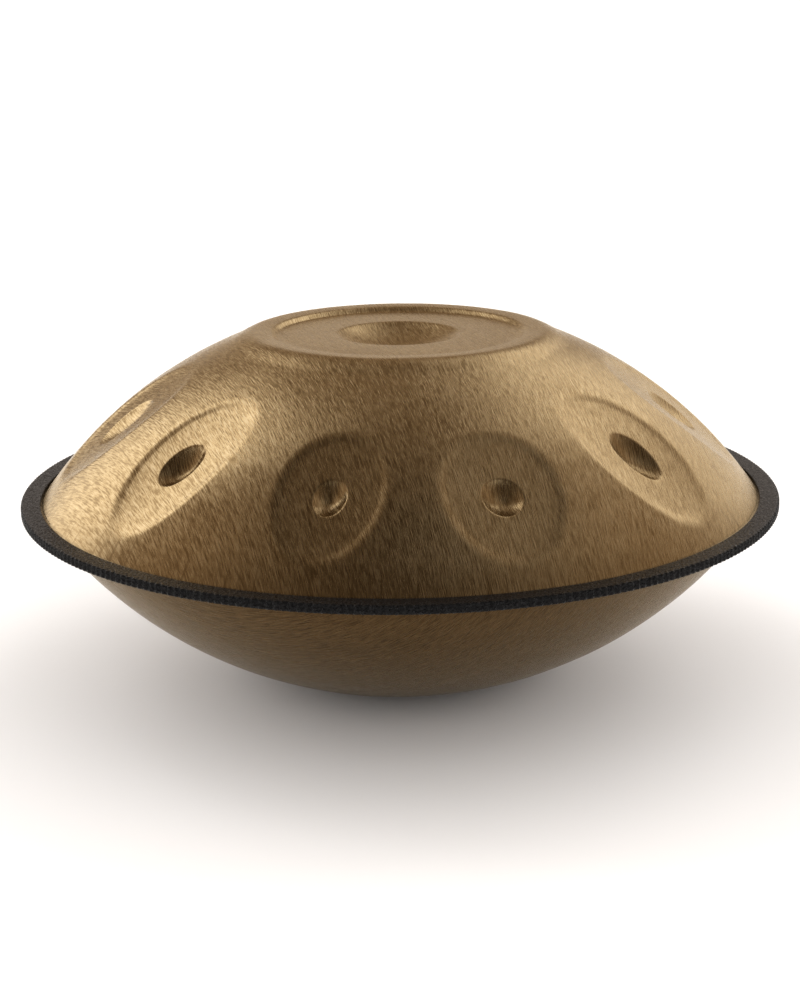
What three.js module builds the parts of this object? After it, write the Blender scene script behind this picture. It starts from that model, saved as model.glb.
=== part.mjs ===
// Handpan: two pressed steel shells glued flange to flange, with a clip-on trim around the rim.
// Millimetres, +Z up. The origin is on the axis, in the plane of the ring that the instrument
// rests on. Azimuth runs from the player's side (-Y) towards +X.
import * as THREE from 'three';

// ---------- driving dimensions ----------
const SHEET = 1.2;                 // steel thickness of both shells
const RIM_Z = 141.5;               // height of the glue plane above the resting ring
const GLUE = 0.4;                  // glue bead thickness
const GAP = 0.15;                  // clearance between pieces that touch in the real object
const FLANGE_R = 282;              // outer radius of both flanges

const TOP_R = 331;                 // sphere radius of the top shell's outer face
const TOP_CENTRE = RIM_Z - 191;    // height of that sphere's centre
const BOTTOM_R = 322;              // sphere radius of the bottom shell's outer face
const BOTTOM_CENTRE = RIM_Z + 175;

const DING_DIMPLE_R = 46;          // crisp edge of the centre dimple
const DING_DIMPLE_DEPTH = 13;
const DING_FIELD_Z = RIM_Z + 119.9;
const DING_SHOULDER_R = 90.5;      // where the centre field's floor meets the wall around it
const DING_SHOULDER_Z = RIM_Z + 119.2;
const DING_WALL_R = 96;            // the top of that wall
const DING_WALL_Z = RIM_Z + 122.2;
const DING_CREST_R = 107.5;        // the raised ring around the centre field
const DING_CREST_Z = RIM_Z + 122.9;
const DING_EASE = 0.4;             // from the crest to the belt, where the shell is still proud
const DING_EASE_RISE = 0.5;        // of the sphere, and by how much

const BELT_TOP = 132;              // arc lengths from the apex between which the tone fields lie
const BELT_BOTTOM = 306;
const FIELD_DEPTH = 0.8;           // how far a tone field is set in at its border
const FIELD_FLAT = 1;              // how much of the sphere's crown is taken out inside a field
const FIELD_INNER = 0.86;          // border band of a tone field, as parts of its half axes
const FIELD_OUTER = 1.1;

const PORT_R = 47.5;               // clear radius of the sound port
const PORT_BEND = 4;               // outer bend radius where the port turns inwards
const PORT_NECK = 22;              // height of the neck above the resting plane
const FOOT_FILLET = 12;            // fillet from the resting ring into the bowl

const GLUE_WIDTH = 11.9;           // radial width of the glue bead
const GLUE_INSET = 0.6;            // from the flange's edge to the bead

const TRIM_R = 285;                // outer radius of the trim
const TRIM_IN = 270.6;             // inner radius of its two lips
const TRIM_HALF = 3.2;             // half its height
const TRIM_WEB = 0.5;              // clearance between the flange's edge and the trim's web
const TRIM_SKIN = 0.4;             // soft skin on both sides of the carrier
const TRIM_INNER_SKIN = 0.6;       // soft skin of the web between the flange and the carrier
const TRIM_TIP = 1;                // solid rubber at the tips of the lips
const TRIM_CORNER = 1;             // rounding of the outer corners
const CARRIER = 0.4;               // thickness of the steel carrier inside the trim
const SEAM = 0.4;                  // gap of the butt seam at the back of the trim
const CARRIER_SEAM = 1.2;          // the carrier stops a little before it

const RING_STEPS = 72;             // facets around the plain rings

// One row for each outer tone field, from the player's side round towards +X: azimuth of its
// centre in degrees, arc length from the apex to its centre, half width, half length down the
// slope, the same two for its dimple, the dimple's depth, and how far the field leans to the side
// for each millimetre down the slope.
const TONE_FIELDS = [
  { az: -14.5, arc: 242, a: 37, b: 50, da: 11.5, db: 14.5, dip: 6, lean: -0.06 },
  { az: 15.2, arc: 244.5, a: 42, b: 50, da: 14.5, db: 15, dip: 6.5, lean: 0 },
  { az: 47.8, arc: 233, a: 41, b: 63, da: 15, db: 22.5, dip: 8, lean: 0.17 },
  { az: 82, arc: 224, a: 46, b: 64, da: 19.5, db: 24, dip: 5.5, lean: 0.1 },
  { az: 130, arc: 218, a: 56, b: 68, da: 23, db: 27, dip: 8, lean: 0 },
  { az: 180, arc: 216, a: 62, b: 69, da: 26, db: 29, dip: 9, lean: 0 },
  { az: -130, arc: 218, a: 56, b: 68, da: 23, db: 27, dip: 8, lean: 0 },
  { az: -82, arc: 225, a: 46, b: 64, da: 19, db: 26, dip: 5, lean: -0.1 },
  { az: -47.2, arc: 232, a: 37, b: 62, da: 14.9, db: 19, dip: 8.5, lean: -0.2 },
];

// Grid lines of a tone field's cell, from its centre (0) to its edge (1). The dimple's edge falls
// on DIMPLE_LINE, and the border band of the field between INNER_LINE and OUTER_LINE.
const DIMPLE_LINE = 0.4;
const INNER_LINE = 0.6;
const OUTER_LINE = 0.8;
const CELL_LINES = [-1, -0.8, -0.6, -0.4, -0.2, 0, 0.2, 0.4, 0.6, 0.8, 1];
const SNAP = 1e-9;                 // rounding allowed when a grid line is compared with a border

// ---------- helpers ----------
const V = (x, y) => new THREE.Vector2(x, y);
const rad = THREE.MathUtils.degToRad;
const lerp = THREE.MathUtils.lerp;

function steel(colour, roughness) {
  return new THREE.MeshStandardMaterial({ color: colour, roughness, metalness: 1 });
}

// Points of a circular arc in the (radius, height) half plane, ends included.
function arcPoints(cx, cz, radius, from, to, steps) {
  const points = [];
  for (let i = 0; i <= steps; i += 1) {
    const t = lerp(from, to, i / steps);
    points.push(V(cx + radius * Math.cos(t), cz + radius * Math.sin(t)));
  }
  return points;
}

// A closed lathe about the Z axis. Its angle is the azimuth.
function lathe(profile, steps) {
  const geometry = new THREE.LatheGeometry(profile, steps);
  geometry.rotateX(Math.PI / 2);
  return geometry;
}

// Sweeps a section, drawn as (radius, height), round the Z axis and leaves a seam at the back.
function sweepOpenRing(section, gapWidth, radius) {
  const options = { depth: 1, steps: RING_STEPS, bevelEnabled: false };
  const geometry = new THREE.ExtrudeGeometry(section, options);
  const position = geometry.attributes.position;
  const halfGap = gapWidth / 2 / radius;
  for (let i = 0; i < position.count; i += 1) {
    const r = position.getX(i);
    const z = position.getY(i);
    const turn = position.getZ(i);
    const whole = Math.PI - turn * 2 * Math.PI;
    const azimuth = THREE.MathUtils.clamp(whole, -Math.PI + halfGap, Math.PI - halfGap);
    position.setXYZ(i, r * Math.sin(azimuth), -r * Math.cos(azimuth), z);
  }
  return geometry;
}

// ---------- top shell ----------
// Each tone field owns a cell of the belt. Its sides are halfway to the neighbouring fields.
function fieldCells() {
  const count = TONE_FIELDS.length;
  return TONE_FIELDS.map((field, i) => {
    const next = TONE_FIELDS[(i + 1) % count].az;
    const before = TONE_FIELDS[(i + count - 1) % count].az;
    const after = THREE.MathUtils.euclideanModulo(next - field.az, 360) / 2;
    const ahead = THREE.MathUtils.euclideanModulo(field.az - before, 360) / 2;
    return { ...field, after, ahead };
  });
}

// Square to disc: the unit direction for a point of the cell's square grid.
function discDirection(p, q) {
  if (p === 0 && q === 0) return V(0, 0);
  const quarter = Math.PI / 4;
  if (Math.abs(p) >= Math.abs(q)) {
    const t = quarter * (q / p);
    return V(Math.sign(p) * Math.cos(t), Math.sign(p) * Math.sin(t));
  }
  const t = quarter * (p / q);
  return V(Math.sign(q) * Math.sin(t), Math.sign(q) * Math.cos(t));
}

// Where the grid point (p, q) of a cell lies: offsets in millimetres from the field's centre while
// it is inside the border band, and blended out to the cell's straight sides beyond it.
function gridPoint(cell, p, q) {
  const m = Math.max(Math.abs(p), Math.abs(q));
  const d = discDirection(p, q);
  const rings = [
    [0, 0, 0],
    [DIMPLE_LINE, cell.da, cell.db],
    [INNER_LINE, cell.a * FIELD_INNER, cell.b * FIELD_INNER],
    [OUTER_LINE, cell.a * FIELD_OUTER, cell.b * FIELD_OUTER],
  ];
  let u = d.x * rings[3][1];
  let v = d.y * rings[3][2];
  for (let i = 0; i < 3; i += 1) {
    const [m0, a0, b0] = rings[i];
    const [m1, a1, b1] = rings[i + 1];
    if (m >= m0 && m <= m1) {
      const t = (m - m0) / (m1 - m0);
      u = d.x * lerp(a0, a1, t);
      v = d.y * lerp(b0, b1, t);
    }
  }
  let arc = cell.arc + v;
  const across = u + cell.lean * v;
  let az = cell.az + THREE.MathUtils.radToDeg(across / (TOP_R * Math.sin(arc / TOP_R)));
  if (m > OUTER_LINE) {
    const t = (m - OUTER_LINE) / (1 - OUTER_LINE);
    const edgeAz = cell.az + (p / m) * (p > 0 ? cell.after : cell.ahead);
    const edgeArc = q > 0 ? lerp(cell.arc, BELT_BOTTOM, q / m) : lerp(cell.arc, BELT_TOP, -q / m);
    az = lerp(az, edgeAz, t);
    arc = lerp(arc, edgeArc, t);
  }
  return { az: rad(az), arc, set: fieldDepth(cell, u, v, m) };
}

// How far the metal is set in at an offset (u, v) from a field's centre.
function fieldDepth(cell, u, v, m) {
  if (m > INNER_LINE + SNAP) return 0;
  const reach = (u / cell.a) ** 2 + (v / cell.b) ** 2;
  const crown = (cell.a * cell.b) / (2 * TOP_R);
  const dimple = Math.max(0, 1 - (u / cell.da) ** 2 - (v / cell.db) ** 2);
  return FIELD_DEPTH + FIELD_FLAT * crown * (1 - reach) + cell.dip * dimple;
}

function spherePoint(az, arc, radius) {
  const t = arc / TOP_R;
  const r = radius * Math.sin(t);
  return new THREE.Vector3(r * Math.sin(az), -r * Math.cos(az), TOP_CENTRE + radius * Math.cos(t));
}

// Radius and height of the centre part's outer face, from the axis out to the belt.
function centreProfile() {
  const floor = (r) => DING_FIELD_Z - DING_DIMPLE_DEPTH * (1 - (r / DING_DIMPLE_R) ** 2);
  const beltR = TOP_R * Math.sin(BELT_TOP / TOP_R);
  const beltZ = TOP_CENTRE + TOP_R * Math.cos(BELT_TOP / TOP_R);
  const mid = lerp(DING_CREST_R, beltR, DING_EASE);
  const sphereZ = TOP_CENTRE + Math.sqrt(TOP_R ** 2 - mid ** 2);
  return [
    V(0, floor(0)),
    V(DING_DIMPLE_R / 2, floor(DING_DIMPLE_R / 2)),
    V(DING_DIMPLE_R, DING_FIELD_Z),
    V(DING_SHOULDER_R, DING_SHOULDER_Z),
    V(DING_WALL_R, DING_WALL_Z),
    V(DING_CREST_R, DING_CREST_Z),
    V(mid, sphereZ + DING_EASE_RISE),
    V(beltR, beltZ),
  ];
}

function topShellGeometry() {
  const cells = fieldCells();
  const lines = CELL_LINES.slice(0, -1);
  const columns = cells.flatMap((cell) => lines.map((p) => ({ cell, p })));
  const centre = centreProfile();
  const beltRows = CELL_LINES.slice(1);
  const flangeZ = RIM_Z + GLUE / 2 + GAP;
  const sphereEnd = (radius, z) => Math.sqrt(radius ** 2 - (z - TOP_CENTRE) ** 2);

  // The outer face from the axis outwards, as a function of the column, then the inner face.
  const rows = [];
  centre.forEach((point) => rows.push(() => point));
  beltRows.forEach((q) => rows.push(({ cell, p }) => gridPoint(cell, p, q)));
  const outerCount = rows.length;

  const place = (column, j, drop) => {
    const spot = rows[j](column);
    if (spot.isVector2) {
      const t = Math.asin(spot.x / TOP_R);
      const az = gridPoint(column.cell, column.p, -1).az;
      const r = spot.x - drop * Math.sin(t);
      return new THREE.Vector3(r * Math.sin(az), -r * Math.cos(az), spot.y - drop * Math.cos(t));
    }
    return spherePoint(spot.az, spot.arc, TOP_R - spot.set - drop);
  };
  const rimPoint = (column, r, z) => {
    const az = gridPoint(column.cell, column.p, 1).az;
    return new THREE.Vector3(r * Math.sin(az), -r * Math.cos(az), z);
  };

  const ladder = [];
  for (let j = 0; j < outerCount; j += 1) ladder.push((c) => place(c, j, SHEET));
  ladder.push((c) => rimPoint(c, sphereEnd(TOP_R - SHEET, flangeZ), flangeZ));
  ladder.push((c) => rimPoint(c, FLANGE_R, flangeZ));
  ladder.push((c) => rimPoint(c, FLANGE_R, flangeZ + SHEET));
  ladder.push((c) => rimPoint(c, sphereEnd(TOP_R, flangeZ + SHEET), flangeZ + SHEET));
  for (let j = outerCount - 1; j >= 0; j -= 1) ladder.push((c) => place(c, j, 0));

  // A plain lathe gives the closed skin, and its points then move to the places above.
  const profile = ladder.map((at) => {
    const point = at(columns[0]);
    return V(Math.hypot(point.x, point.y), point.z);
  });
  const geometry = lathe(profile, columns.length);
  const position = geometry.attributes.position;
  for (let i = 0; i <= columns.length; i += 1) {
    const column = columns[i % columns.length];
    ladder.forEach((at, j) => {
      const point = at(column);
      position.setXYZ(i * ladder.length + j, point.x, point.y, point.z);
    });
  }
  return geometry;
}

// ---------- bottom shell ----------
function bottomShellGeometry() {
  const flangeZ = RIM_Z - GLUE / 2 - GAP;
  const footR = Math.sqrt((BOTTOM_R - FOOT_FILLET) ** 2 - (BOTTOM_CENTRE - FOOT_FILLET) ** 2);
  const footAngle = Math.atan2(FOOT_FILLET - BOTTOM_CENTRE, footR);
  const bendR = PORT_R + PORT_BEND;
  const bowl = (radius, z) => {
    const end = -Math.asin((BOTTOM_CENTRE - z) / radius);
    return arcPoints(0, BOTTOM_CENTRE, radius, footAngle, end, 9);
  };
  const down = -Math.PI / 2;
  const outer = [
    V(PORT_R, PORT_NECK),
    ...arcPoints(bendR, PORT_BEND, PORT_BEND, -Math.PI, down, 3),
    V(footR, 0),
    ...bowl(BOTTOM_R, flangeZ - SHEET),
  ];
  const inner = [
    V(PORT_R + SHEET, PORT_NECK),
    ...arcPoints(bendR, PORT_BEND, PORT_BEND - SHEET, -Math.PI, down, 3),
    V(footR, SHEET),
    ...bowl(BOTTOM_R - SHEET, flangeZ),
  ];
  const profile = [
    ...outer,
    V(FLANGE_R, flangeZ - SHEET),
    V(FLANGE_R, flangeZ),
    ...inner.reverse(),
    outer[0].clone(),
  ];
  return lathe(profile, RING_STEPS);
}

// ---------- glue, trim and carrier ----------
function glueGeometry() {
  const outer = FLANGE_R - GLUE_INSET;
  const inner = outer - GLUE_WIDTH;
  const low = RIM_Z - GLUE / 2;
  const high = RIM_Z + GLUE / 2;
  const profile = [V(inner, low), V(outer, low), V(outer, high), V(inner, high), V(inner, low)];
  return lathe(profile, RING_STEPS);
}

// The channel shape that the trim, its pocket and the carrier share: lips at the top and bottom,
// open towards the axis. It goes from the inner corner of the upper lip round to the lower one.
function channel(lipR, outR, webR, halfOut, halfIn, corner) {
  const points = [V(lipR, halfIn), V(webR, halfIn), V(webR, -halfIn), V(lipR, -halfIn)];
  points.push(V(lipR, -halfOut));
  const reach = outR - corner;
  const drop = halfOut - corner;
  if (corner > 0) {
    points.push(...arcPoints(reach, -drop, corner, -Math.PI / 2, 0, 2));
    points.push(...arcPoints(reach, drop, corner, 0, Math.PI / 2, 2));
  } else {
    points.push(V(outR, -halfOut), V(outR, halfOut));
  }
  points.push(V(lipR, halfOut));
  return points.map((point) => V(point.x, point.y + RIM_Z));
}

// Stack of the trim's wall, from the flange outwards: inner skin, carrier in its pocket, outer skin.
const SLOT_HALF = GLUE / 2 + GAP + SHEET + GAP;
const WEB_R = FLANGE_R + TRIM_WEB;
const POCKET_HALF = TRIM_HALF - TRIM_SKIN;
const POCKET_WEB_R = WEB_R + TRIM_INNER_SKIN;
const POCKET_OUT_R = POCKET_WEB_R + CARRIER + 2 * GAP;

function trimGeometry() {
  const outline = channel(TRIM_IN, TRIM_R, WEB_R, TRIM_HALF, SLOT_HALF, TRIM_CORNER);
  const section = new THREE.Shape(outline);
  const lip = TRIM_IN + TRIM_TIP;
  const pocketIn = SLOT_HALF + TRIM_SKIN;
  const pocket = channel(lip, POCKET_OUT_R, POCKET_WEB_R, POCKET_HALF, pocketIn, 0);
  section.holes.push(new THREE.Path(pocket));
  return sweepOpenRing(section, SEAM, TRIM_R);
}

function carrierGeometry() {
  const lip = TRIM_IN + TRIM_TIP + GAP;
  const half = POCKET_HALF - GAP;
  const outline = channel(lip, POCKET_OUT_R - GAP, POCKET_WEB_R + GAP, half, half - CARRIER, 0);
  return sweepOpenRing(new THREE.Shape(outline), CARRIER_SEAM, TRIM_R);
}

// ---------- assembly ----------
const bronze = steel(0x8f7550, 0.38);
const rubber = new THREE.MeshStandardMaterial({ color: 0x17171a, roughness: 0.55, metalness: 0 });
const resin = new THREE.MeshStandardMaterial({ color: 0xb9ab86, roughness: 0.6, metalness: 0 });
const spring = steel(0x9a9da0, 0.4);

const pieces = [
  ['top_shell', topShellGeometry(), bronze],
  ['bottom_shell', bottomShellGeometry(), bronze],
  ['flange_glue', glueGeometry(), resin],
  ['rim_trim', trimGeometry(), rubber],
  ['trim_carrier', carrierGeometry(), spring],
];

const group = new THREE.Group();
for (const [name, geometry, material] of pieces) {
  const mesh = new THREE.Mesh(geometry, material);
  mesh.name = name;
  group.add(mesh);
}

export default group;
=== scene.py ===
import math

import bpy
import numpy as np
from mathutils import Matrix, Vector, noise


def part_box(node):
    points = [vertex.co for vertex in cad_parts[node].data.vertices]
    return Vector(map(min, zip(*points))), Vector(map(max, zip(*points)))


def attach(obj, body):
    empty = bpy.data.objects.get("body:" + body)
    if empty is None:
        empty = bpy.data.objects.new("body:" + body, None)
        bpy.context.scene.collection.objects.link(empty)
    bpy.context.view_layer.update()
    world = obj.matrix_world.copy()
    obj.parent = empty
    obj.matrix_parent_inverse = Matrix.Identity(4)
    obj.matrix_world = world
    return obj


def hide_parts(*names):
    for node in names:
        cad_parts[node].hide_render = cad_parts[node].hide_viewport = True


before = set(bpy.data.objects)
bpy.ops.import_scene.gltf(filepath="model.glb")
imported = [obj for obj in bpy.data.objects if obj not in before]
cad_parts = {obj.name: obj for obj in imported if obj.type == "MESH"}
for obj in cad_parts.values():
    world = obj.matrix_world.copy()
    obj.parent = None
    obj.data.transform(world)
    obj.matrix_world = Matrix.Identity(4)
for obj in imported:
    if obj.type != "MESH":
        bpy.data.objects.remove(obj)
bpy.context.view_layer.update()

MM = 0.001

# ---------- shape, in millimetres, from the CAD frame where it can be read there ----------
trim_low, trim_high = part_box("rim_trim")
TRIM_R = trim_high.x / MM
TRIM_HALF = (trim_high.z - trim_low.z) / 2 / MM
RIM_Z = (trim_high.z + trim_low.z) / 2 / MM
FLANGE_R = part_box("bottom_shell")[1].x / MM
FLANGE_GAP = 0.35                 # from the glue plane to each flange
SHEET = 1.2
FLANGE_FILLET = 2.0
EDGE_BEVEL = 0.2                  # of each flange's outer edge

TOP_R = 331.0                     # sphere of the top shell's outer face
TOP_CENTRE = RIM_Z - 191.0
BOTTOM_R = 322.0
BOTTOM_CENTRE = RIM_Z + 175.0

# The centre field: its dimple, its floor, the shoulder and wall around it, and the crest.
DING_DIMPLE_R = 46.0
DING_DIMPLE_DEPTH = 13.0
DING_FIELD_Z = RIM_Z + 119.9
DING_SHOULDER_R = 90.5
DING_SHOULDER_Z = RIM_Z + 119.2
DING_WALL_R = 96.0
DING_WALL_Z = RIM_Z + 122.2
DING_CREST_R = 107.5
DING_CREST_Z = RIM_Z + 122.9
DING_WALL_START = 0.5             # the wall starts to rise this far inside the shoulder
DING_CREST_START = 2.0            # and the crest's curve this far inside the wall's end
DING_FIELD_START = 1.14           # first mesh ring of the floor, in radii of the dimple
# Points across the floor, the wall, the crest and the slope outside it, both ends counted.
DING_STEPS = (7, 9, 8, 12)

BELT_TOP = 132.0                  # arc lengths from the apex that bound the tone fields
BELT_BOTTOM = 306.0
FIELD_DEPTH = 0.8                 # how far a tone field is sunk into the dome at its border
FIELD_FLAT = 1.0                  # share of the dome's own crown that is flattened out of it
FIELD_INNER = 0.86                # where the border starts and ends, as parts of the field's size
FIELD_OUTER = 1.1
BORDER_STEPS = 9                  # mesh lines across the border
OUTSIDE_STEPS = 5                 # and from there to the edge of the field's cell
DIMPLE_EDGE = 0.04                # rounding of a dimple's edge, as a part of its depth
WAVE = 0.22                       # hand-hammered unevenness of the sheet
WAVE_LENGTH = 52.0
WAVE_FINE = 2.1                   # the finer waves are this many times as close
WAVE_EDGE = (16.0, 34.0)          # the waves set in between these distances from the flange's edge
WAVE_MIDDLE = (62.0, 80.0)        # and between these distances from the axis

PORT_R = 47.5
PORT_BEND = 4.0
PORT_NECK = 22.0
PORT_LIP = 0.4                    # rounding of the neck's upper edge
NECK_ENDS = (3.0, 2.0)            # its wall's points keep this far from its edge and the bend
NECK_INNER = 0.1                  # the sheet's other face ends this far below the neck's edge
FOOT_FILLET = 12.0
BOTTOM_COLUMNS = 360              # mesh columns around the bottom shell
BOWL_STEPS = (64, 30)             # mesh rings of its bowl, outside and inside

TRIM_IN = 270.6                   # radius of the ends of the trim's two lips
TRIM_SLOT = 1.7                   # half height of the slot that holds both flanges
TRIM_SKIN = 0.4
TRIM_WEB = 0.5                    # from the flange's edge to the slot's bottom
TRIM_INNER_SKIN = 0.6
TRIM_CORNER = 1.0                 # rounding of the outer side
LIP_CORNER = 0.45
POCKET_DEPTH = 0.7                # radial room for the carrier in the web
POCKET_INSET = 1.0                # from the ends of the lips to the pocket
POCKET_CORNER = 0.02
CARRIER_FACETS = 72               # the carrier is a CAD piece, and its pocket follows its facets
RIBS = 348
RIB_COLUMNS = 6                   # mesh columns for each rib
RIB_DEPTH = 1.0
RIB_FADE = (1.6, 0.1)             # the grooves deepen between these distances from the outer side
GROOVE_WALL = (0.12, 0.42)        # where a groove's wall starts and ends, on a wave from 0 to 1
SEAM = 0.4                        # gap between the strip's two ends

# One row for each outer tone field: azimuth of its centre in degrees, arc length from the apex to
# its centre, half width, half length down the slope, the same for its dimple, the dimple's depth,
# and how far the field leans to the side for each millimetre down the slope.
TONE_FIELDS = (
    (-14.5, 242.0, 37.0, 50.0, 11.5, 14.5, 6.0, -0.06),
    (15.2, 244.5, 42.0, 50.0, 14.5, 15.0, 6.5, 0.0),
    (47.8, 233.0, 41.0, 63.0, 15.0, 22.5, 8.0, 0.17),
    (82.0, 224.0, 46.0, 64.0, 19.5, 24.0, 5.5, 0.1),
    (130.0, 218.0, 56.0, 68.0, 23.0, 27.0, 8.0, 0.0),
    (180.0, 216.0, 62.0, 69.0, 26.0, 29.0, 9.0, 0.0),
    (-130.0, 218.0, 56.0, 68.0, 23.0, 27.0, 8.0, 0.0),
    (-82.0, 225.0, 46.0, 64.0, 19.0, 26.0, 5.0, -0.1),
    (-47.2, 232.0, 37.0, 62.0, 14.9, 19.0, 8.5, -0.2),
)

# ---------- camera ----------
CAMERA_DISTANCE = 1.3894          # from the axis, in metres
CAMERA_ABOVE_RIM = 0.3879
CAMERA_AZIMUTH = -2.5
CAMERA_PITCH = 15.99
CAMERA_ROLL = -0.62
CAMERA_LENS = 67.86
CAMERA_FAR = 200.0                # how far the camera sees, in metres

# ---------- light: azimuths and elevations in degrees, strengths as radiance ----------
# Each panel: its two sides, their softness, its top edge in its middle, that edge's softness, how
# much the edge falls with each degree to the right, its strength, and the part of that strength
# left at the floor.
LEFT_PANEL = (-64.0, -31.0, 4.5, 57.0, 9.0, 1.0, 1.9, 0.9)
RIGHT_PANEL = (21.0, 58.0, 7.0, 52.0, 9.0, -0.2, 1.45, 0.4)
BACKDROP = (-14.0, 14.0, 10.0, 18.0, 6.0, 0.0, 0.40, 1.0)
PANEL_LID = (64.0, 77.0)          # the panels fade out between these elevations
PANEL_FULL = (-5.0, 40.0)         # and gain their full strength between these
# A faint round light to the right: azimuth, elevation, radius of its core, its radius, strength.
GLOW = (112.0, 58.0, 6.0, 28.0, 0.22)
WARM = (1.24, 0.94, 0.70)         # tint of the room around the panels
# The room's strength in front (0), to the sides (0.5) and at the back (1).
ROOM = ((0.0, 0.07), (1.0, 0.31), (0.25, 0.20), (0.5, 0.38), (0.75, 0.40))
CEILING = (40.0, 80.0)            # elevations between which the walls turn into the ceiling
CEILING_DEPTH = 0.35              # how far the ceiling's change from front to back reaches
CEILING_FRONT = 0.07
CEILING_BACK = 0.22
FLOOR_GAP = 0.0002                # keeps the floor clear of the resting ring, in metres
FLOOR_HALF = 60.0                 # half the floor's width, in metres
PAPER = 0.9                       # how pale and how rough the floor is
OVERHEAD = 0.8
OVERHEAD_SPREAD = 80              # how wide the light from above looks, in degrees
SIDE_LIGHTS = 0.85                # each of the low soft lights around the floor
SIDE_SPREAD = 60
SIDE_ELEVATION = 27
SIDE_AZIMUTHS = (35, 90, 145, 215, 270, 325)


# ---------- mesh helpers ----------
def smoothstep(low, high, x):
    """0 up to low, 1 from high on, and a smooth change between them."""
    t = np.clip((x - low) / (high - low), 0.0, 1.0)
    return t * t * (3 - 2 * t)


def arc(cx, cz, radius, start, end, steps):
    """Points (radius, height) of an arc, ends included. Angles in radians."""
    t = np.linspace(start, end, steps + 1)
    return np.stack([cx + radius * np.cos(t), cz + radius * np.sin(t)], -1)


def add_mesh(name, vertices, faces):
    """A smooth object in the scene from vertices in millimetres."""
    mesh = bpy.data.meshes.new(name)
    mesh.from_pydata((np.asarray(vertices) * MM).tolist(), [], faces)
    mesh.polygons.foreach_set("use_smooth", [True] * len(mesh.polygons))
    mesh.update()
    piece = bpy.data.objects.new(name, mesh)
    bpy.context.scene.collection.objects.link(piece)
    return piece


def grid_faces(rows, columns, first=0, wrap=True):
    """Quads of a grid whose vertex (row, column) is number first + row * columns + column."""
    faces = []
    for i in range(rows - 1):
        for j in range(columns if wrap else columns - 1):
            k = (j + 1) % columns
            low = first + i * columns
            high = low + columns
            faces.append((low + j, low + k, high + k, high + j))
    return faces


def turned(profile, azimuth):
    """Vertices of a profile turned about Z: all azimuths of the first point, then of the next."""
    r = profile[:, :1]
    x = r * np.sin(azimuth)
    y = -r * np.cos(azimuth)
    z = np.repeat(profile[:, 1:], len(azimuth), 1)
    return np.stack([x, y, z], -1)


def wave(points):
    """Unevenness of the sheet at each point, in millimetres."""
    flat = points.reshape(-1, 3) / WAVE_LENGTH
    values = [noise.noise(Vector(p)) + 0.5 * noise.noise(Vector(p) * WAVE_FINE) for p in flat]
    r = np.hypot(points[..., 0], points[..., 1])
    edge = smoothstep(FLANGE_R - WAVE_EDGE[0], FLANGE_R - WAVE_EDGE[1], r)
    fade = edge * smoothstep(*WAVE_MIDDLE, r)
    return WAVE * np.array(values).reshape(points.shape[:-1]) * fade


# ---------- top shell ----------
def cell_lines():
    """Grid lines of a tone field's cell from its centre out: (zone, share of the zone)."""
    dimple = [(0, q) for q in (0, 0.2, 0.4, 0.58, 0.74, 0.86, 0.93, 0.97, 1.0)]
    floor = [(1, q) for q in (0.03, 0.07, 0.13, 0.25, 0.45, 0.7, 1.0)]
    border = [(2, q / BORDER_STEPS) for q in range(1, BORDER_STEPS + 1)]
    outside = [(3, q / OUTSIDE_STEPS) for q in range(1, OUTSIDE_STEPS + 1)]
    return np.array(dimple + floor + border + outside, float)


def disc_direction(p, q):
    """Square to disc: cosine and sine for a point of the square grid."""
    wide = np.abs(p) >= np.abs(q)
    safe_p = np.where(wide & (p != 0), p, 1.0)
    safe_q = np.where(~wide, q, 1.0)
    t_wide = math.pi / 4 * q / safe_p
    t_tall = math.pi / 4 * p / safe_q
    x = np.where(wide, np.sign(p) * np.cos(t_wide), np.sign(q) * np.sin(t_tall))
    y = np.where(wide, np.sign(p) * np.sin(t_wide), np.sign(q) * np.cos(t_tall))
    return x, y


def field_cell(field, ahead, after, lines):
    """Azimuth, arc and inset of every grid point of one cell; the last column is left out."""
    az0, arc0, a, b, da, db, dip, lean = field
    steps = len(lines) - 1
    index = np.arange(-steps, steps + 1)
    column, row = np.meshgrid(index[:-1], index)
    ring = np.maximum(np.abs(column), np.abs(row))
    cos, sin = disc_direction(column / steps, row / steps)
    zone = lines[ring, 0]
    share = lines[ring, 1]
    stations = np.array([
        (0.0, 0.0),
        (da, db),
        (a * FIELD_INNER, b * FIELD_INNER),
        (a * FIELD_OUTER, b * FIELD_OUTER),
        (a * FIELD_OUTER, b * FIELD_OUTER),
    ])
    z = zone.astype(int)
    half_u = stations[z, 0] + share * (stations[z + 1, 0] - stations[z, 0])
    half_v = stations[z, 1] + share * (stations[z + 1, 1] - stations[z, 1])
    u = cos * half_u
    v = sin * half_v
    arc_in = arc0 + v
    az_in = az0 + np.degrees((u + lean * v) / (TOP_R * np.sin(arc_in / TOP_R)))
    safe = np.maximum(ring, 1)
    edge_az = az0 + column / safe * np.where(column > 0, after, ahead)
    edge_arc = np.where(
        row > 0, arc0 + row / safe * (BELT_BOTTOM - arc0), arc0 + row / safe * (arc0 - BELT_TOP))
    t = np.where(zone == 3, share, 0.0)
    azimuth = np.radians(az_in + t * (edge_az - az_in))
    arc_length = arc_in + t * (edge_arc - arc_in)

    reach = np.sqrt((u / a) ** 2 + (v / b) ** 2)
    crown = a * b / (2 * TOP_R)
    floor = FIELD_DEPTH + FIELD_FLAT * crown * (1 - reach ** 2)
    inset = floor * smoothstep(FIELD_OUTER, FIELD_INNER, reach)
    bowl = 1 - (u / da) ** 2 - (v / db) ** 2
    inset += dip * 0.5 * (bowl + np.sqrt(bowl ** 2 + DIMPLE_EDGE ** 2))
    inset[zone == 3] = 0.0
    return azimuth, arc_length, inset


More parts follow.
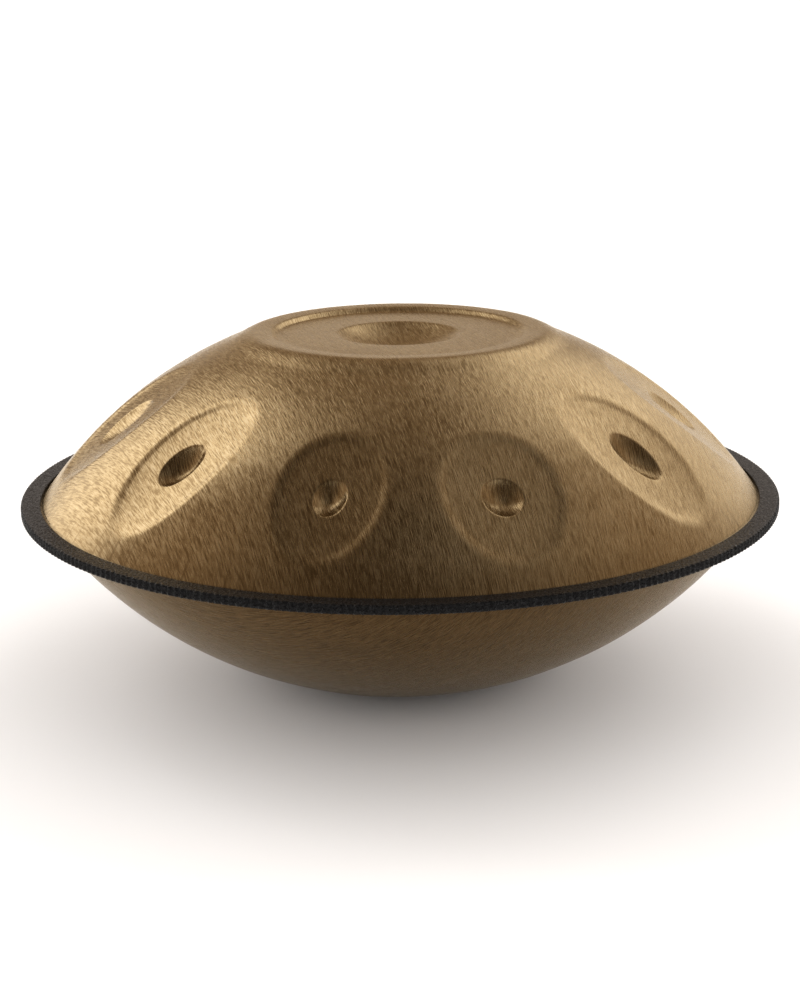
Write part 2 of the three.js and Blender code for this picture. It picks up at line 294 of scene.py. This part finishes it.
def tone_belt():
    """The belt of tone fields: azimuth, arc and inset, rows from the top of the belt down."""
    lines = cell_lines()
    count = len(TONE_FIELDS)
    parts = []
    for i, field in enumerate(TONE_FIELDS):
        after = (TONE_FIELDS[(i + 1) % count][0] - field[0]) % 360 / 2
        ahead = (field[0] - TONE_FIELDS[i - 1][0]) % 360 / 2
        parts.append(field_cell(field, ahead, after, lines))
    return [np.concatenate(group, 1) for group in zip(*parts)]


def centre_profile():
    """Outer face from the axis to the belt, as (radius, height)."""
    field_steps, wall_steps, crest_steps, slope_steps = DING_STEPS
    r_dimple = DING_DIMPLE_R * np.array(
        (0, 0.08, 0.2, 0.34, 0.48, 0.62, 0.74, 0.84, 0.91, 0.955, 0.985, 1, 1.015, 1.04, 1.08))
    r_field = np.linspace(DING_DIMPLE_R * DING_FIELD_START, DING_SHOULDER_R, field_steps)
    r_wall = np.linspace(DING_SHOULDER_R, DING_WALL_R, wall_steps)[1:]
    r_crest = np.linspace(DING_WALL_R, DING_CREST_R, crest_steps)[1:]
    r = np.concatenate([r_dimple, r_field, r_wall, r_crest])
    crown = np.clip((r - DING_DIMPLE_R) / (DING_SHOULDER_R - DING_DIMPLE_R), 0, 1) ** 2
    z = DING_FIELD_Z + (DING_SHOULDER_Z - DING_FIELD_Z) * crown
    wall = smoothstep(DING_SHOULDER_R - DING_WALL_START, DING_WALL_R, r)
    z += (DING_WALL_Z - DING_SHOULDER_Z) * wall
    crest_width = DING_CREST_R - DING_WALL_R + DING_CREST_START
    top = np.clip((r - DING_WALL_R + DING_CREST_START) / crest_width, 0, 1)
    z += (DING_CREST_Z - DING_WALL_Z) * (1 - (1 - top) ** 2)
    bowl = 1 - (r / DING_DIMPLE_R) ** 2
    z -= DING_DIMPLE_DEPTH * 0.5 * (bowl + np.sqrt(bowl ** 2 + DIMPLE_EDGE ** 2))
    inner = np.stack([r, z], -1)

    belt = BELT_TOP / TOP_R
    end_r = TOP_R * math.sin(belt)
    end_z = TOP_CENTRE + TOP_R * math.cos(belt)
    t = np.linspace(0, 1, slope_steps)[1:, None]
    span = end_r - DING_CREST_R
    start = np.array([DING_CREST_R, z[-1]])
    end = np.array([end_r, end_z])
    rise = np.array([span, 0.0])
    fall = np.array([span, -span * math.tan(belt)])
    outer = (2 * t ** 3 - 3 * t ** 2 + 1) * start + (t ** 3 - 2 * t ** 2 + t) * rise
    outer = outer + (3 * t ** 2 - 2 * t ** 3) * end + (t ** 3 - t ** 2) * fall
    return np.concatenate([inner, outer])


def rim_profile(radius, centre_z, flange_z, fillet):
    """From the last of a dome's slope through a fillet onto its flange. Heights above the rim
    plane are positive; centre_z is on the far side of it."""
    centre = centre_z - RIM_Z
    corner_r = math.sqrt((radius + fillet) ** 2 - (flange_z + fillet - centre) ** 2)
    slope = math.atan2(flange_z + fillet - centre, corner_r)
    bend = arc(corner_r, flange_z + fillet, fillet, math.pi + slope, 1.5 * math.pi, 6)
    return bend


def make_top_shell():
    """Outer face with its tone fields, the flange, and an inner face one sheet below."""
    azimuth, arc_length, inset = tone_belt()
    columns = azimuth.shape[1]
    ring = azimuth[0]
    centre = turned(centre_profile()[1:], ring)

    def dome(radius):
        t = arc_length / TOP_R
        r = (radius - inset) * np.sin(t)
        z = TOP_CENTRE + (radius - inset) * np.cos(t)
        return np.stack([r * np.sin(azimuth), -r * np.cos(azimuth), z], -1)

    belt = dome(TOP_R)[1:]
    flange_z = FLANGE_GAP + SHEET
    bend = rim_profile(TOP_R, TOP_CENTRE, flange_z, FLANGE_FILLET)
    slope_t = np.linspace(BELT_BOTTOM, TOP_R * math.asin(bend[0, 0] / TOP_R), 4)[1:-1] / TOP_R
    slope = np.stack([TOP_R * np.sin(slope_t), TOP_CENTRE - RIM_Z + TOP_R * np.cos(slope_t)], -1)
    edge = np.array([(FLANGE_R - EDGE_BEVEL, flange_z), (FLANGE_R, flange_z - EDGE_BEVEL)])
    rim = np.concatenate([slope, bend, edge]) + (0, RIM_Z)
    outer = np.concatenate([centre, belt, turned(rim, azimuth[-1])])
    push = outer - (0, 0, TOP_CENTRE)
    push /= np.linalg.norm(push, axis=-1, keepdims=True)
    outer += push * wave(outer)[..., None]

    flange = len(edge)
    keep = list(range(0, len(outer) - flange - len(bend), 3)) + [len(outer) - flange - 2]
    inner = outer[keep] - push[keep] * SHEET
    low = turned(np.array([(FLANGE_R, RIM_Z + FLANGE_GAP)]), azimuth[-1])
    root = turned(np.array([(inner_root(TOP_R, TOP_CENTRE), RIM_Z + FLANGE_GAP)]), azimuth[-1])
    rows = np.concatenate([outer, low, root, inner[:-1][::-1]])
    apex = centre_profile()[0, 1]
    vertices = np.concatenate([rows.reshape(-1, 3), [(0, 0, apex), (0, 0, apex - SHEET)]])
    faces = grid_faces(len(rows), columns)
    top = len(vertices) - 2
    last = (len(rows) - 1) * columns
    for j in range(columns):
        k = (j + 1) % columns
        faces.append((top, k, j))
        faces.append((top + 1, last + j, last + k))
    faces = [face[::-1] for face in faces]
    return add_mesh("top_shell_steel", vertices, faces)


def inner_root(radius, centre_z):
    """Radius where a shell's inner face meets its flange."""
    reach = abs(centre_z - RIM_Z) + FLANGE_GAP
    return math.sqrt((radius - SHEET) ** 2 - reach ** 2)


# ---------- bottom shell ----------
def make_bottom_shell():
    """Port, resting ring, bowl and flange, and an inner face one sheet inside."""
    columns = BOTTOM_COLUMNS
    ring = np.linspace(0, 2 * math.pi, columns, endpoint=False)
    foot_r = math.sqrt((BOTTOM_R - FOOT_FILLET) ** 2 - (BOTTOM_CENTRE - FOOT_FILLET) ** 2)
    foot_angle = math.atan2(FOOT_FILLET - BOTTOM_CENTRE, foot_r)
    bend_r = PORT_R + PORT_BEND
    flange_z = FLANGE_GAP + SHEET
    bend = rim_profile(BOTTOM_R, 2 * RIM_Z - BOTTOM_CENTRE, flange_z, FLANGE_FILLET)
    bend = bend * (1, -1) + (0, RIM_Z)
    bowl_end = -math.acos(bend[0, 0] / BOTTOM_R)
    neck = np.linspace(PORT_NECK - NECK_ENDS[0], PORT_BEND + NECK_ENDS[1], 4)
    outer = np.concatenate([
        arc(PORT_R + PORT_LIP, PORT_NECK - PORT_LIP, PORT_LIP, math.pi / 2, math.pi, 3),
        np.stack([np.full(len(neck), PORT_R), neck], -1),
        arc(bend_r, PORT_BEND, PORT_BEND, -math.pi, -math.pi / 2, 8),
        arc(foot_r, FOOT_FILLET, FOOT_FILLET, -math.pi / 2, foot_angle, 4),
        arc(0, BOTTOM_CENTRE, BOTTOM_R, foot_angle, bowl_end, BOWL_STEPS[0])[1:-1],
        bend,
        [(FLANGE_R - EDGE_BEVEL, RIM_Z - flange_z), (FLANGE_R, RIM_Z - flange_z + EDGE_BEVEL)],
    ])
    inner_end = -math.acos(inner_root(BOTTOM_R, BOTTOM_CENTRE) / (BOTTOM_R - SHEET))
    inner = np.concatenate([
        [(PORT_R + SHEET, PORT_NECK - NECK_INNER), (PORT_R + SHEET, neck[-1])],
        arc(bend_r, PORT_BEND, PORT_BEND - SHEET, -math.pi, -math.pi / 2, 5),
        arc(0, BOTTOM_CENTRE, BOTTOM_R - SHEET, foot_angle, inner_end, BOWL_STEPS[1]),
        [(FLANGE_R, RIM_Z - FLANGE_GAP)],
    ])
    outside = turned(outer, ring)
    inside = turned(inner[::-1], ring)
    for face in (outside, inside):
        push = face - (0, 0, BOTTOM_CENTRE)
        push /= np.linalg.norm(push, axis=-1, keepdims=True)
        face += push * wave(face)[..., None]
    rows = np.concatenate([outside, inside])
    faces = grid_faces(len(rows), columns)
    last = (len(rows) - 1) * columns
    faces += [(last + j, last + (j + 1) % columns, (j + 1) % columns, j) for j in range(columns)]
    return add_mesh("bottom_shell_steel", rows.reshape(-1, 3), faces)


# ---------- trim ----------
def channel(lip_r, out_r, web_r, half_out, half_in, corner, lip_corner):
    """Closed outline of the trim's U section, open towards the axis, as (radius, height)."""
    quarter = math.pi / 2
    top = half_out - corner
    reach = out_r - corner
    lip_top = half_out - lip_corner
    lip_in = lip_r + lip_corner
    parts = [
        np.linspace((lip_r, half_in), (web_r, half_in), 4),
        np.linspace((web_r, -half_in), (lip_r, -half_in), 4),
        arc(lip_in, -lip_top, lip_corner, -2 * quarter, -quarter, 3)[1:],
        np.linspace((lip_in, -half_out), (reach, -half_out), 5)[1:-1],
        arc(reach, -top, corner, -quarter, 0, 4),
        np.linspace((out_r, -top), (out_r, top), 5)[1:-1],
        arc(reach, top, corner, 0, quarter, 4),
        np.linspace((reach, half_out), (lip_in, half_out), 7)[1:-1],
        arc(lip_in, lip_top, lip_corner, quarter, 2 * quarter, 3)[:-1],
    ]
    return np.concatenate(parts)


def make_trim():
    """Ribbed U strip with its seam at the back, and the pocket inside it for the carrier."""
    columns = RIBS * RIB_COLUMNS + 1
    half_gap = SEAM / 2 / TRIM_R
    ring = np.linspace(-math.pi + half_gap, math.pi - half_gap, columns)
    web = FLANGE_R + TRIM_WEB
    outline = channel(TRIM_IN, TRIM_R, web, TRIM_HALF, TRIM_SLOT, TRIM_CORNER, LIP_CORNER)
    section = turned(outline + (0, RIM_Z), ring)
    # The ribs: grooves pressed into the outer side, fading out over the rounded corners.
    turn = (np.arange(columns) % RIB_COLUMNS) / RIB_COLUMNS
    groove = smoothstep(*GROOVE_WALL, 0.5 - 0.5 * np.cos(2 * math.pi * turn))
    side = smoothstep(TRIM_R - RIB_FADE[0], TRIM_R - RIB_FADE[1], outline[:, 0])
    depth = RIB_DEPTH * side[:, None] * groove[None, :]
    scale = 1 - depth / outline[:, :1]
    section[..., :2] *= scale[..., None]

    pocket_web = web + TRIM_INNER_SKIN
    pocket_half = TRIM_HALF - TRIM_SKIN
    pocket_slot = TRIM_SLOT + TRIM_SKIN
    pocket_out = pocket_web + POCKET_DEPTH
    pocket_line = channel(
        TRIM_IN + POCKET_INSET, pocket_out, pocket_web, pocket_half, pocket_slot,
        POCKET_CORNER, POCKET_CORNER)
    pocket_columns = CARRIER_FACETS + 1
    pocket_ring = np.clip(np.linspace(-math.pi, math.pi, pocket_columns), ring[0], ring[-1])
    pocket = turned(pocket_line + (0, RIM_Z), pocket_ring)

    count = len(outline)
    outer_index = np.arange(count * columns).reshape(count, columns)
    inner_index = np.arange(count * pocket_columns).reshape(count, pocket_columns)
    inner_index += count * columns
    faces = []
    for i in range(count):
        k = (i + 1) % count
        here, there = outer_index[i], outer_index[k]
        faces += np.stack([here[:-1], here[1:], there[1:], there[:-1]], -1).tolist()
        here, there = inner_index[i], inner_index[k]
        faces += np.stack([here[:-1], there[:-1], there[1:], here[1:]], -1).tolist()
        for end in (0, -1):
            cap = [outer_index[i, end], outer_index[k, end], inner_index[k, end], inner_index[i, end]]
            faces.append([int(v) for v in (cap if end == 0 else cap[::-1])])
    vertices = np.concatenate([section.reshape(-1, 3), pocket.reshape(-1, 3)])
    return add_mesh("rim_trim_rubber", vertices, faces)


# ---------- materials ----------
class Graph:
    """Short calls for building the node tree of a material or of the world."""

    def __init__(self, name="", world=None):
        if world is None:
            self.material = bpy.data.materials.new(name)
            self.material.use_nodes = True
        self.tree = (world or self.material).node_tree
        self.shader = self.tree.nodes["Background" if world else "Principled BSDF"]

    def node(self, kind, inputs=(), **settings):
        made = self.tree.nodes.new(kind)
        for key, value in settings.items():
            setattr(made, key, value)
        for key, value in dict(inputs).items():
            self.put(made.inputs[key], value)
        return made

    def put(self, socket, value):
        if isinstance(value, bpy.types.NodeSocket):
            self.tree.links.new(value, socket)
        else:
            socket.default_value = value

    def math(self, operation, a, b=0.0, clamp=False):
        made = self.node("ShaderNodeMath", {0: a, 1: b}, operation=operation)
        made.use_clamp = clamp
        return made.outputs[0]

    def remap(self, value, low, high, to_low, to_high):
        made = self.node("ShaderNodeMapRange", {0: value, 1: low, 2: high, 3: to_low, 4: to_high})
        return made.outputs[0]

    def smooth(self, value, low, high, to_low, to_high):
        inputs = {0: value, 1: min(low, high), 2: max(low, high), 3: to_low, 4: to_high}
        made = self.node("ShaderNodeMapRange", inputs, interpolation_type="SMOOTHSTEP")
        return made.outputs[0]

    def noise(self, vector, scale, detail=2.0, roughness=0.5):
        inputs = {"Vector": vector, "Scale": scale, "Detail": detail, "Roughness": roughness}
        return self.node("ShaderNodeTexNoise", inputs).outputs["Fac"]

    def ramp(self, value, stops):
        made = self.node("ShaderNodeValToRGB", {0: value})
        elements = made.color_ramp.elements
        for i, (position, colour) in enumerate(stops):
            element = elements[i] if i < 2 else elements.new(position)
            element.position = position
            element.color = (*colour, 1)
        return made.outputs[0]

    def mix(self, share, a, b, blend="MIX"):
        made = self.node("ShaderNodeMix", data_type="RGBA", blend_type=blend)
        self.put(made.inputs["Factor"], share)
        self.put(made.inputs["A"], a)
        self.put(made.inputs["B"], b)
        return made.outputs["Result"]

    def bump(self, height, strength, distance, normal=None):
        inputs = {"Height": height, "Strength": strength, "Distance": distance}
        made = self.node("ShaderNodeBump", inputs)
        if normal is not None:
            self.put(made.inputs["Normal"], normal)
        return made.outputs[0]


STROKE_ROUGHNESS = 0.62           # how much of the noise's finer detail each stroke shows


def strokes(graph, position, turn, across, along, detail=2.0):
    """Noise drawn out along parallel brush strokes. turn is the strokes' direction, in degrees
    from -Y towards +X; across and along are frequencies per metre."""
    spin = graph.node("ShaderNodeVectorRotate", {"Vector": position, "Angle": -math.radians(turn)},
                      rotation_type="Z_AXIS")
    scale = {0: spin.outputs[0], 1: (across, along, along)}
    vector = graph.node("ShaderNodeVectorMath", scale, operation="MULTIPLY")
    return graph.noise(vector.outputs[0], 1.0, detail, STROKE_ROUGHNESS)


BRONZE_DARK = (0.20, 0.14, 0.075)
BRONZE_MID = (0.36, 0.275, 0.165)
BRONZE_LIGHT = (0.48, 0.39, 0.26)
BRUSH_BEND = 0.9                  # per metre: how much the brush strokes bend to one side
THIN_STROKES = (1900.0, 110.0)    # frequencies per metre across and along the strokes
BROAD_STROKES = (700.0, 60.0)
GRAIN_SCALE = 1100.0
CLOUD_SCALE = 13.0
TONE_SHARES = (0.7, 0.06, 0.18, 0.14)  # of the thin and broad strokes, the grain and the clouds
TONE_RANGE = (0.41, 0.67)
EDGE_TINT = (1.0, 0.93, 0.8, 1)   # keeps the steel warm where it is seen from the side
STEEL_ROUGHNESS = (0.7, 1.3, 0.21, 0.31)  # range of the strokes' sum, range of the roughness
STEEL_BUMP = (0.7, 0.0003)        # strength, and height in metres
TOP_BRUSHING = 16.0               # direction of the brushing, in degrees from -Y towards +X
BOTTOM_BRUSHING = 55.0
TOP_TINT = (1.02, 0.98, 0.86)
# The bottom shell's colour is darkened as painted shade, standing in for the dark reflection under
# the bowl.
BOTTOM_PAINTED_SHADE = (0.29, 0.212, 0.135)

# The darker band at the rim, with its marks; radii in metres.
MARK_SCALE = 105.0                # marks for each radian around the rim, roughly
MARK_RANGE = (0.52, 0.66)
MARK_SHADE = 0.85
BAND = (0.2605, 0.270)            # where the band sets in and where it is whole
BAND_RAGGED = 0.012               # how far the strokes move its edge
BAND_SHADE = 0.25
RIM_SHADOW_BAND = (0.2675, 0.2705)     # where a painted shadow line darkens the shell against the trim
RIM_SHADOW_SHARE = 0.8
RIM_SHADOW_COLOUR = (0.03, 0.024, 0.018, 1)

# The other materials. Nearly all values of a noise lie between the low and the high one.
NOISE_LOW = 0.3
NOISE_HIGH = 0.7
RUBBER_DARK = (0.002, 0.002, 0.0023)
RUBBER_GRAIN_AND_GLINT = (0.004, 0.004, 0.0046)
RUBBER_PALE_FROM = 0.3            # grain value above which the rubber gets paler: grain tone, and a faint painted glint on the shiny peaks
RUBBER_GRAIN = 620.0
RUBBER_GRAIN_RANGE = (0.4, 0.64)
RUBBER_PATCHES = 60.0
RUBBER_PATCH_SHARE = 0.4
RUBBER_SPECULAR = 0.2
RUBBER_ROUGHNESS = (0.42, 0.18)
RUBBER_BUMP = (1.0, 0.0009)
GLUE_DARK = (0.50, 0.43, 0.28)
GLUE_PALE = (0.66, 0.59, 0.42)
GLUE_BLOTCHES = 90.0
GLUE_ROUGHNESS = 0.45
GLUE_BUMP = (0.3, 0.0003)
STRIP_DARK = (0.42, 0.43, 0.44)
STRIP_PALE = (0.60, 0.61, 0.62)
STRIP_SCRATCHES = 300.0
STRIP_ROUGHNESS = (0.32, 0.5)


def bronze_material(name, turn, tint):
    """Brushed heat-tinted steel; turn is the direction of the brushing, and tint scales its colour:
    for the bottom shell it darkens it as painted shade.
    """
    graph = Graph(name)
    position = graph.node("ShaderNodeTexCoord").outputs["Object"]
    # The strokes bend a little more to one side of the shell.
    split = graph.node("ShaderNodeSeparateXYZ", {0: position})
    x, y, z = split.outputs
    bent = graph.math("ADD", x, graph.math("MULTIPLY", graph.math("MULTIPLY", x, x), BRUSH_BEND))
    swept = graph.node("ShaderNodeCombineXYZ", {0: bent, 1: y, 2: z}).outputs[0]
    thin = strokes(graph, swept, turn, *THIN_STROKES, detail=1.0)
    broad = strokes(graph, swept, turn, *BROAD_STROKES)
    grain = graph.noise(position, GRAIN_SCALE, detail=1.0)
    cloud = graph.noise(position, CLOUD_SCALE, detail=4.0, roughness=0.6)
    tone = 0.0
    for pattern, share in zip((thin, broad, grain, cloud), TONE_SHARES):
        tone = graph.math("ADD", tone, graph.math("MULTIPLY", pattern, share))
    tone = graph.remap(tone, *TONE_RANGE, 0.0, 1.0)
    colour = graph.ramp(tone, ((0.0, BRONZE_DARK), (1.0, BRONZE_LIGHT), (0.5, BRONZE_MID)))

    # Near the rim the brushing wheel left a darker band with short marks down the slope.
    flat = graph.node("ShaderNodeCombineXYZ", {0: x, 1: y}).outputs[0]
    radius = graph.node("ShaderNodeVectorMath", {0: flat}, operation="LENGTH").outputs["Value"]
    unit = graph.node("ShaderNodeVectorMath", {0: flat}, operation="NORMALIZE").outputs[0]
    rim_inputs = {0: unit, "Scale": MARK_SCALE}
    round_rim = graph.node("ShaderNodeVectorMath", rim_inputs, operation="SCALE")
    marks = graph.noise(round_rim.outputs[0], 1.0)
    marks = graph.remap(marks, *MARK_RANGE, 0.0, 1.0)
    ragged = graph.math("ADD", radius, graph.math("MULTIPLY", broad, BAND_RAGGED))
    near_rim = graph.remap(ragged, *BAND, 0.0, 1.0)
    scuff = graph.math("MULTIPLY", marks, near_rim)
    band = graph.math("MULTIPLY", near_rim, BAND_SHADE)
    shade = graph.math("MAXIMUM", graph.math("MULTIPLY", scuff, MARK_SHADE), band)
    colour = graph.mix(shade, colour, (*BRONZE_DARK, 1))
    # A painted shadow line: the shell is darkened where it runs under the trim.
    rim_shadow = graph.smooth(radius, *RIM_SHADOW_BAND, 0.0, RIM_SHADOW_SHARE)
    colour = graph.mix(rim_shadow, colour, RIM_SHADOW_COLOUR)
    colour = graph.mix(1.0, colour, (*tint, 1), "MULTIPLY")

    graph.put(graph.shader.inputs["Base Color"], colour)
    graph.shader.inputs["Metallic"].default_value = 1.0
    graph.shader.inputs["Specular Tint"].default_value = EDGE_TINT
    rough = graph.remap(graph.math("ADD", thin, broad), *STEEL_ROUGHNESS)
    graph.put(graph.shader.inputs["Roughness"], rough)
    graph.put(graph.shader.inputs["Normal"], graph.bump(thin, *STEEL_BUMP))
    return graph.material


def rubber_material():
    """Black rubber with a fine grain, shinier and paler where the grain stands up; the paler colour
    is grain tone with a faint painted glint.
    """
    graph = Graph("trim_rubber")
    position = graph.node("ShaderNodeTexCoord").outputs["Object"]
    grain = graph.remap(graph.noise(position, RUBBER_GRAIN), *RUBBER_GRAIN_RANGE, 0.0, 1.0)
    patch = graph.noise(position, RUBBER_PATCHES, detail=3.0)
    height = graph.math("ADD", grain, graph.math("MULTIPLY", patch, RUBBER_PATCH_SHARE))
    # Paler on the grain's peaks: grain tone and a faint painted glint.
    colour = graph.ramp(grain, ((RUBBER_PALE_FROM, RUBBER_DARK), (1.0, RUBBER_GRAIN_AND_GLINT)))
    graph.put(graph.shader.inputs["Base Color"], colour)
    graph.shader.inputs["Specular IOR Level"].default_value = RUBBER_SPECULAR
    graph.put(graph.shader.inputs["Roughness"], graph.remap(grain, 0.0, 1.0, *RUBBER_ROUGHNESS))
    graph.put(graph.shader.inputs["Normal"], graph.bump(height, *RUBBER_BUMP))
    return graph.material


def glue_material():
    """Cured glue, pale and a little blotchy."""
    graph = Graph("glue_resin")
    position = graph.node("ShaderNodeTexCoord").outputs["Object"]
    blotch = graph.noise(position, GLUE_BLOTCHES, detail=4.0)
    colour = graph.ramp(blotch, ((NOISE_LOW, GLUE_DARK), (NOISE_HIGH, GLUE_PALE)))
    graph.put(graph.shader.inputs["Base Color"], colour)
    graph.shader.inputs["Roughness"].default_value = GLUE_ROUGHNESS
    graph.put(graph.shader.inputs["Normal"], graph.bump(blotch, *GLUE_BUMP))
    return graph.material


def carrier_material():
    """Plain spring steel with fine scratches."""
    graph = Graph("carrier_strip_steel")
    position = graph.node("ShaderNodeTexCoord").outputs["Object"]
    scratch = graph.noise(position, STRIP_SCRATCHES, detail=4.0, roughness=0.7)
    colour = graph.ramp(scratch, ((NOISE_LOW, STRIP_DARK), (NOISE_HIGH, STRIP_PALE)))
    graph.put(graph.shader.inputs["Base Color"], colour)
    graph.shader.inputs["Metallic"].default_value = 1.0
    rough = graph.remap(scratch, NOISE_LOW, NOISE_HIGH, *STRIP_ROUGHNESS)
    graph.put(graph.shader.inputs["Roughness"], rough)
    return graph.material


def dress(piece, material):
    """Gives a piece this material and no other."""
    piece.data.materials.clear()
    piece.data.materials.append(material)


# ---------- stage: floor, light, camera ----------
def make_floor():
    """A wide floor of white paper, just under the instrument."""
    mesh = bpy.data.meshes.new("floor")
    half = FLOOR_HALF
    z = -FLOOR_GAP
    corners = [(-half, -half, z), (half, -half, z), (half, half, z), (-half, half, z)]
    mesh.from_pydata(corners, [], [(0, 1, 2, 3)])
    floor = bpy.data.objects.new("floor", mesh)
    bpy.context.scene.collection.objects.link(floor)
    material = bpy.data.materials.new("floor_paper")
    material.use_nodes = True
    shader = material.node_tree.nodes["Principled BSDF"]
    shader.inputs["Base Color"].default_value = (PAPER, PAPER, PAPER, 1)
    shader.inputs["Roughness"].default_value = PAPER
    shader.inputs["Specular IOR Level"].default_value = 0.0
    dress(floor, material)


def make_world():
    """A plain studio: two large soft panels behind the instrument to the left and right, a pale
    backdrop between them, a faint round light and a dim warm room elsewhere. Azimuth is counted
    from +Y."""
    world = bpy.data.worlds.new("studio")
    bpy.context.scene.world = world
    world.use_nodes = True
    graph = Graph(world=world)
    direction = graph.node("ShaderNodeTexCoord").outputs["Generated"]
    split = graph.node("ShaderNodeSeparateXYZ", {0: direction})
    x, y, z = split.outputs
    azimuth = graph.math("MULTIPLY", graph.math("ARCTAN2", x, y), 180 / math.pi)
    elevation = graph.math("MULTIPLY", graph.math("ARCSINE", z), 180 / math.pi)

    def panel(low_az, high_az, soft_az, top, soft_top, slant, strength, sill):
        rise = graph.smooth(azimuth, low_az - soft_az, low_az + soft_az, 0.0, strength)
        fall = graph.smooth(azimuth, high_az - soft_az, high_az + soft_az, 1.0, 0.0)
        middle = (low_az + high_az) / 2
        tilt = graph.math("MULTIPLY", graph.math("SUBTRACT", azimuth, middle), slant)
        level = graph.math("ADD", elevation, tilt)
        lid = graph.smooth(level, top - soft_top, top + soft_top, 1.0, 0.0)
        lid = graph.math("MULTIPLY", lid, graph.smooth(elevation, *PANEL_FULL, sill, 1.0))
        return graph.math("MULTIPLY", graph.math("MULTIPLY", rise, fall), lid)

    panels = panel(*LEFT_PANEL)
    for each in (RIGHT_PANEL, BACKDROP):
        panels = graph.math("ADD", panels, panel(*each))
    panels = graph.math("MULTIPLY", panels, graph.smooth(elevation, *PANEL_LID, 1.0, 0.0))
    glow_az, glow_el, inner, outer, strength = GLOW
    level = math.cos(math.radians(glow_el))
    aim = (level * math.sin(math.radians(glow_az)), level * math.cos(math.radians(glow_az)),
           math.sin(math.radians(glow_el)))
    close = graph.node("ShaderNodeVectorMath", {0: direction, 1: aim}, operation="DOT_PRODUCT")
    away = graph.math("MULTIPLY", graph.math("ARCCOSINE", close.outputs["Value"]), 180 / math.pi)
    panels = graph.math("ADD", panels, graph.smooth(away, inner, outer, strength, 0.0))
    back = graph.math("COSINE", graph.math("ARCTAN2", x, y))
    stops = [(place, [level * tint for tint in WARM]) for place, level in ROOM]
    walls = graph.ramp(graph.remap(back, -1.0, 1.0, 0.0, 1.0), stops)
    ceiling = graph.smooth(y, -CEILING_DEPTH, CEILING_DEPTH, CEILING_FRONT, CEILING_BACK)
    ceiling = graph.node("ShaderNodeVectorMath", {0: WARM, "Scale": ceiling}, operation="SCALE")
    room = graph.mix(graph.smooth(elevation, *CEILING, 0.0, 1.0), walls, ceiling.outputs[0])
    lit = graph.node("ShaderNodeCombineXYZ", {0: panels, 1: panels, 2: panels})
    total = graph.node("ShaderNodeVectorMath", {0: room, 1: lit.outputs[0]})
    graph.put(graph.shader.inputs["Color"], total.outputs[0])


def add_sun(name, energy, angle, azimuth, elevation):
    """A soft light the metal doesn't mirror. Azimuth is counted from +Y."""
    data = bpy.data.lights.new(name, "SUN")
    data.energy = energy
    data.angle = math.radians(angle)
    light = bpy.data.objects.new(name, data)
    light.rotation_euler = (math.radians(90 - elevation), 0, math.radians(180 - azimuth))
    light.visible_glossy = False
    bpy.context.scene.collection.objects.link(light)


def make_lights():
    """One light from above and a ring of low ones, so that the floor stays pale."""
    add_sun("overhead", OVERHEAD, OVERHEAD_SPREAD, 0, 90)
    for azimuth in SIDE_AZIMUTHS:
        add_sun(f"low_{azimuth}", SIDE_LIGHTS, SIDE_SPREAD, azimuth, SIDE_ELEVATION)


def make_camera():
    """In front of the instrument, looking a little down at it, with a small roll."""
    data = bpy.data.cameras.new("camera")
    data.lens = CAMERA_LENS
    data.clip_end = CAMERA_FAR
    camera = bpy.data.objects.new("camera", data)
    bpy.context.scene.collection.objects.link(camera)
    turn = math.radians(CAMERA_AZIMUTH)
    pitch = math.radians(CAMERA_PITCH)
    roll = math.radians(CAMERA_ROLL)
    forward = Vector((-math.sin(turn) * math.cos(pitch), math.cos(turn) * math.cos(pitch),
                      -math.sin(pitch)))
    right = forward.cross(Vector((0, 0, 1))).normalized()
    up = right.cross(forward)
    tilted_right = math.cos(roll) * right + math.sin(roll) * up
    tilted_up = math.cos(roll) * up - math.sin(roll) * right
    axes = Matrix((tilted_right, tilted_up, -forward)).transposed().to_4x4()
    place = Vector((CAMERA_DISTANCE * math.sin(turn), -CAMERA_DISTANCE * math.cos(turn),
                    RIM_Z * MM + CAMERA_ABOVE_RIM))
    camera.matrix_world = Matrix.Translation(place) @ axes
    bpy.context.scene.camera = camera


make_floor()
make_world()
make_lights()
make_camera()
bpy.context.scene.view_settings.view_transform = "Standard"

top_shell = make_top_shell()
bottom_shell = make_bottom_shell()
trim = make_trim()

top_bronze = bronze_material("bronze_top", TOP_BRUSHING, TOP_TINT)
# The bottom shell gets a darker copy of the steel: painted shade.
bottom_bronze_shaded = bronze_material("bronze_bottom_painted_shade", BOTTOM_BRUSHING, BOTTOM_PAINTED_SHADE)
dress(top_shell, top_bronze)
dress(bottom_shell, bottom_bronze_shaded)
dress(trim, rubber_material())
dress(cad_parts["flange_glue"], glue_material())
dress(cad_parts["trim_carrier"], carrier_material())

for piece, node, slot in (
    (top_shell, "top_shell", "shell_steel"),
    (bottom_shell, "bottom_shell", "shell_steel"),
    (trim, "rim_trim", "trim_rubber"),
):
    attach(piece, "root")
    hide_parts(node)
